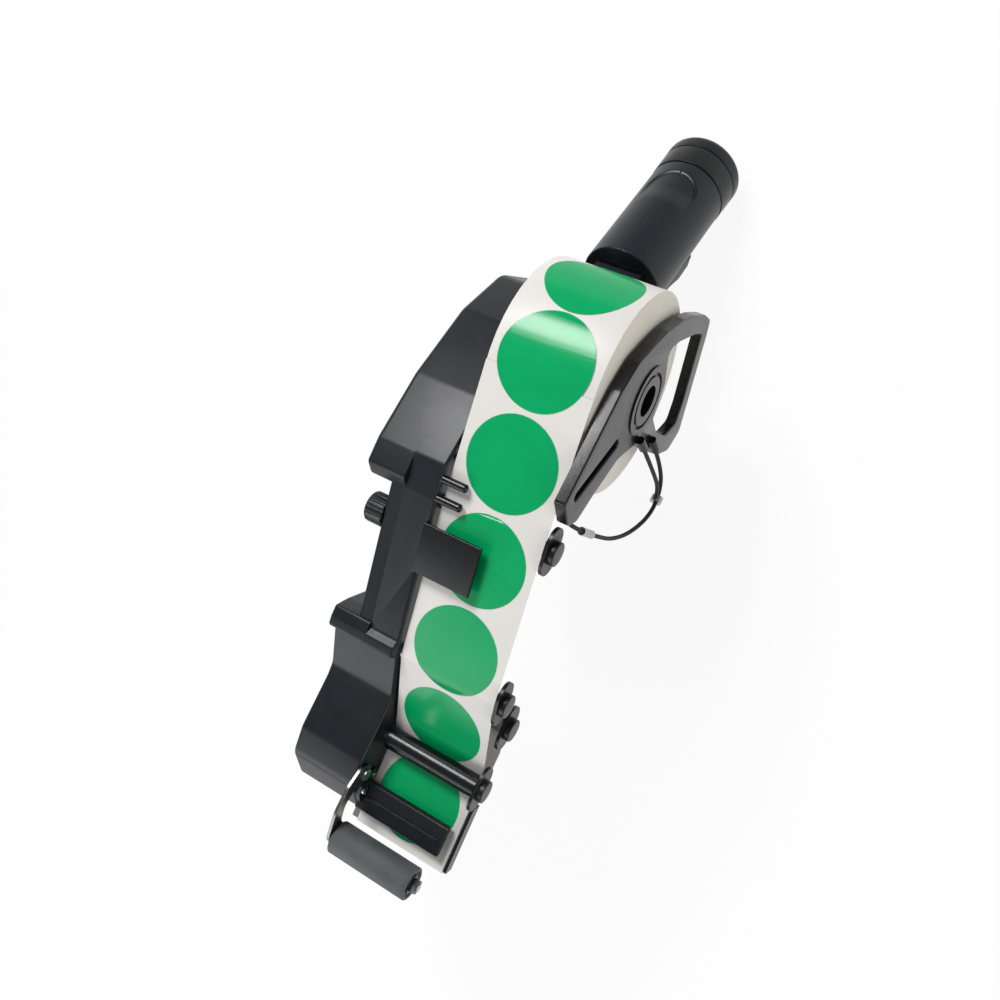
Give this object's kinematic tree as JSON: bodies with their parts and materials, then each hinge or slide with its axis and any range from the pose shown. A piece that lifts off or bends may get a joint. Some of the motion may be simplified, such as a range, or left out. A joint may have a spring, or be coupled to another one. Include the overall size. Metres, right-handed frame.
{
  "type": "handheld label applicator",
  "caption": "Pistol-shaped hand tool that feeds round labels from a side-mounted roll over guide shafts to a peeling plate with a press roller, worked by a trigger in front of the grip.",
  "frame": {"origin": "axis of the label roll, midway across the label web", "axes": "+X across the web towards the open side, -Y the feed direction towards the nose, +Z the side that the labels face"},
  "size_m": [0.1239, 0.4388, 0.2368],
  "materials": {
    "housing_plastic": "charcoal, fine moulded grain, satin",
    "grip_plastic": "charcoal, smooth satin",
    "ring_plastic": "black, satin",
    "frame_plastic": "dark grey, satin",
    "bush_plastic": "natural machined plastic",
    "steel": "turned or rolled steel",
    "dark_metal": "black coated",
    "press_rubber": "dark grey, matt",
    "liner_paper": "pale release paper",
    "core_card": "plain card tube",
    "label_face": "green, slightly glossy",
    "elastic": "black woven elastic cord"
  },
  "bodies": {
    "housing": {"main_body": "housing_plastic", "side_cover": "housing_plastic", "cover_screws": "steel", "trigger_bush": "bush_plastic", "drive_bush": "bush_plastic", "roll_spindle": "frame_plastic", "spindle_nut": "steel", "retainer_frame": "frame_plastic", "label_web": "liner_paper", "web_labels": "label_face", "guide_shafts": "steel", "front_shaft": "steel", "guide_collars": "ring_plastic", "front_collar": "ring_plastic", "guide_prongs": "dark_metal", "hold_down_plate": "dark_metal", "label_plate": "steel", "edge_wall": "dark_metal", "press_bar": "housing_plastic", "bar_screws": "steel", "press_arm": "steel", "arm_screw": "steel", "press_axle": "steel", "press_nut": "steel", "sector_post": "steel", "compound_post": "steel", "pinch_shaft": "steel", "grip_left": "grip_plastic", "grip_right": "grip_plastic", "grip_ring": "ring_plastic", "grip_cap": "grip_plastic", "cord_anchor": "steel", "cord": "elastic", "cord_loop": "elastic", "crimp": "steel", "loop_sleeve": "steel", "return_spring": "steel"},
    "label_supply": {"roll_core": "core_card", "label_roll": "liner_paper", "roll_labels": "label_face"},
    "press_wheel": {"press_core": "bush_plastic", "press_roller": "press_rubber"},
    "front_wheel": {"front_roller": "dark_metal"},
    "knob": {"stroke_knob": "housing_plastic", "knob_cam": "ring_plastic"},
    "trigger": {"trigger_lever": "grip_plastic", "trigger_shaft": "steel", "trigger_crank": "bush_plastic"},
    "link": {"drive_link": "bush_plastic"},
    "sector": {"sector_gear": "bush_plastic"},
    "compound": {"compound_gear": "bush_plastic"},
    "drive": {"drive_pinion": "bush_plastic", "drive_shaft": "steel", "drive_core": "bush_plastic", "drive_sleeve": "press_rubber"},
    "pinch": {"pinch_roller": "bush_plastic"}
  },
  "joints": [
    {"name": "trigger_pull", "type": "hinge", "parent": "housing", "child": "trigger", "pos_m": [0, 0.022, -0.078], "axis": [1, 0, 0], "range_deg": [0, 10], "stiffness_Nm_per_rad": 0.8, "springref_deg": -14.32},
    {"name": "link_slide", "type": "slide", "parent": "housing", "child": "link", "axis": [0, 1, 0], "range_m": [-0.00692, 0], "deforming": ["return_spring"]},
    {"name": "sector_turn", "type": "hinge", "parent": "housing", "child": "sector", "pos_m": [0, -0.166, 0.024], "axis": [1, 0, 0], "range_deg": [-30, 0]},
    {"name": "compound_turn", "type": "hinge", "parent": "housing", "child": "compound", "pos_m": [0, -0.18363, -0.0174], "axis": [1, 0, 0], "range_deg": [0, 120]},
    {"name": "drive_turn", "type": "hinge", "parent": "housing", "child": "drive", "pos_m": [0, -0.213, -0.006], "axis": [1, 0, 0], "range_deg": [-384, 0]},
    {"name": "pinch_turn", "type": "hinge", "parent": "housing", "child": "pinch", "pos_m": [0, -0.213, 0.0075], "axis": [1, 0, 0], "range_deg": [0, 614.4]},
    {"name": "roll_spin", "type": "hinge", "parent": "housing", "child": "label_supply", "pos_m": [0, 0, 0], "axis": [1, 0, 0], "continuous": true},
    {"name": "front_spin", "type": "hinge", "parent": "housing", "child": "front_wheel", "pos_m": [0, -0.227, 0.0223], "axis": [1, 0, 0], "continuous": true},
    {"name": "press_spin", "type": "hinge", "parent": "housing", "child": "press_wheel", "pos_m": [0, -0.2828, 0.0475], "axis": [1, 0, 0], "continuous": true},
    {"name": "knob_turn", "type": "hinge", "parent": "housing", "child": "knob", "pos_m": [-0.065, -0.099, 0.046], "axis": [1, 0, 0], "range_deg": [-150, 150]}
  ],
  "couplings": [
    {"joint": "link_slide", "follows": "trigger_pull", "m_per_rad": -0.0396},
    {"joint": "sector_turn", "follows": "trigger_pull", "ratio": -3},
    {"joint": "compound_turn", "follows": "trigger_pull", "ratio": 12},
    {"joint": "drive_turn", "follows": "trigger_pull", "ratio": -38.4},
    {"joint": "pinch_turn", "follows": "trigger_pull", "ratio": 61.44}
  ]
}
